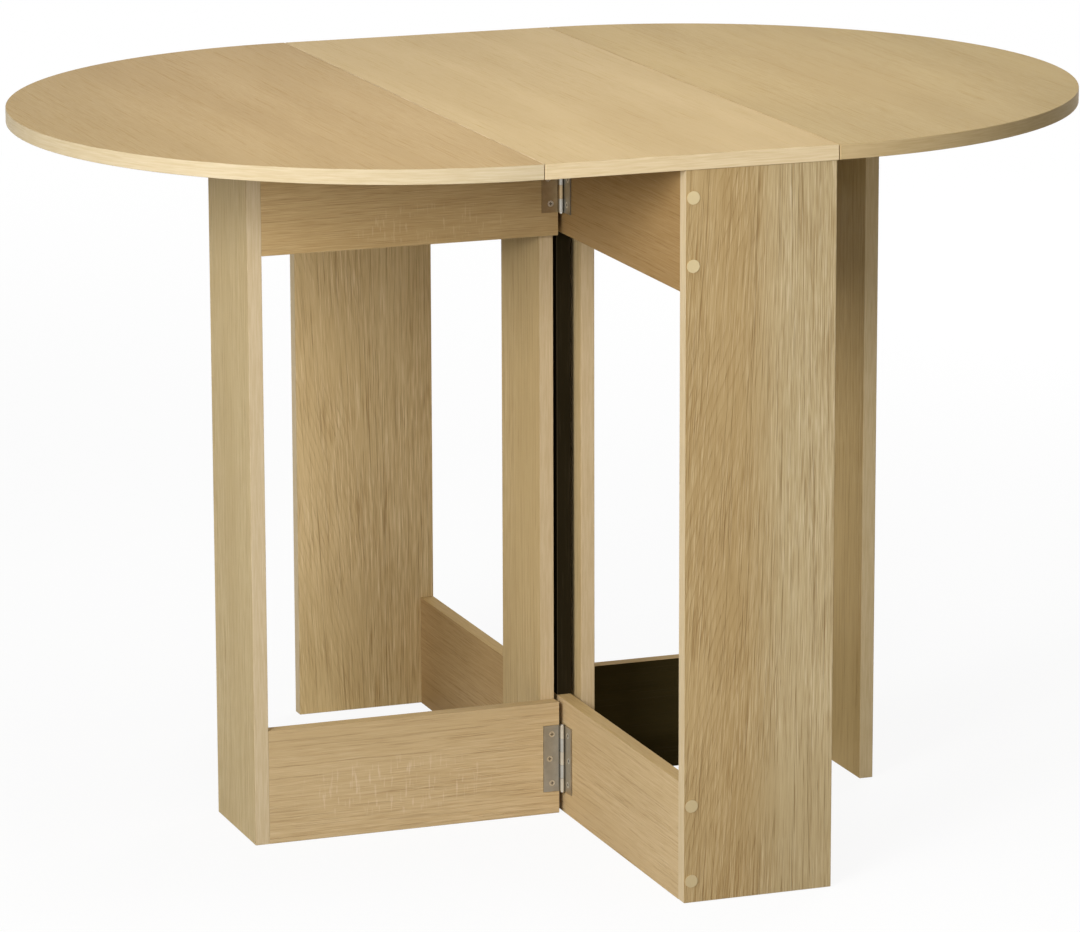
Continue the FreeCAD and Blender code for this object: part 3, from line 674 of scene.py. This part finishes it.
FINISHES = {
    "hinge_base_leaf": HINGE_STEEL,
    "lower_hinge_base_leaf": WOOD_REFLECTING_STEEL,
    "hinge_gate_leaf": HINGE_STEEL,
    "upper_hinge_gate_leaf": SHADED_REFLECTING_STEEL,
    "flap_base_plates": FLAP_STEEL,
    "flap_leaf_plates": FLAP_STEEL,
    "pins": PIN_STEEL,
    "screws": SCREW_STEEL,
    "caps": CAP_PLASTIC,
    "dowels": DOWEL_WOOD,
    "corner_blocks": BLOCK_WOOD,
}
for node in NODES:
    for ending, finish in FINISHES.items():
        if node.endswith(ending):
            dress(node, finish)


def seen_directly(tree):
    """1 for camera, mirror and glass rays, 0 for the rays that carry light."""
    path = add(tree, "ShaderNodeLightPath").outputs
    return calc(tree, "MAXIMUM", calc(tree, "MAXIMUM", path["Is Camera Ray"], path["Is Glossy Ray"]),
                path["Is Transmission Ray"])


def floor_material():
    """Pale floor that reads as white paper to the eye and keeps the table's shadow."""
    made, tree, shader = new_material("floor_paper")
    plug(tree, shader.inputs["Base Color"], blend(tree, seen_directly(tree), FLOOR_TONE, FLOOR_SEEN))
    shader.inputs["Roughness"].default_value = FLOOR_ROUGHNESS
    white = add(tree, "ShaderNodeEmission", {"Color": WHITE, "Strength": 1.0})
    away = add(tree, "ShaderNodeVectorMath", operation="LENGTH")
    plug(tree, away.inputs[0], add(tree, "ShaderNodeTexCoord").outputs["Object"])
    paper = ramp(tree, away.outputs["Value"], FLOOR_NEAR, FLOOR_FAR, FLOOR_WHITENING, 1.0)
    mixed = add(tree, "ShaderNodeMixShader", {
        0: calc(tree, "MULTIPLY", seen_directly(tree), paper), 1: shader.outputs[0], 2: white.outputs[0]})
    output = next(item for item in tree.nodes if item.type == "OUTPUT_MATERIAL")
    plug(tree, output.inputs["Surface"], mixed.outputs[0])
    return made


def lamp(name, place, aim, size, power):
    """A soft square lamp aimed at a point."""
    data = bpy.data.lights.new(name, "AREA")
    data.size = size
    data.energy = power
    made = bpy.data.objects.new(name, data)
    bpy.context.scene.collection.objects.link(made)
    made.location = place
    made.rotation_euler = (Vector(aim) - Vector(place)).to_track_quat("-Z", "Y").to_euler()
    return made


bpy.ops.mesh.primitive_plane_add(size=FLOOR_SIZE, location=(0.0, 0.0, FLOOR_HEIGHT))
floor = bpy.context.object
floor.name = "floor"
floor.data.materials.append(floor_material())

world = bpy.data.worlds.new("studio")
bpy.context.scene.world = world
world.use_nodes = True
world.node_tree.nodes.clear()
sky = add(world.node_tree, "ShaderNodeBackground", {"Color": WHITE})
plug(world.node_tree, sky.inputs["Strength"],
     ramp(world.node_tree, seen_directly(world.node_tree), 0.0, 1.0, AMBIENT_LEVEL, 1.0))
add(world.node_tree, "ShaderNodeOutputWorld", {"Surface": sky.outputs[0]})

for name, facts in LAMPS.items():
    lamp(name, *facts)
bpy.data.objects["back"].visible_glossy = False

camera_data = bpy.data.cameras.new("camera")
camera_data.sensor_width = SENSOR_WIDTH
camera_data.lens = FOCAL_PIXELS / FRAME_WIDTH * SENSOR_WIDTH
camera_data.clip_end = CLIP_END
camera = bpy.data.objects.new("camera", camera_data)
bpy.context.scene.collection.objects.link(camera)
camera.location = CAMERA_PLACE
camera.rotation_euler = (
    math.radians(90 - CAMERA_PITCH), math.radians(CAMERA_ROLL), math.radians(-CAMERA_YAW))
bpy.context.scene.camera = camera
bpy.context.scene.view_settings.view_transform = "Standard"
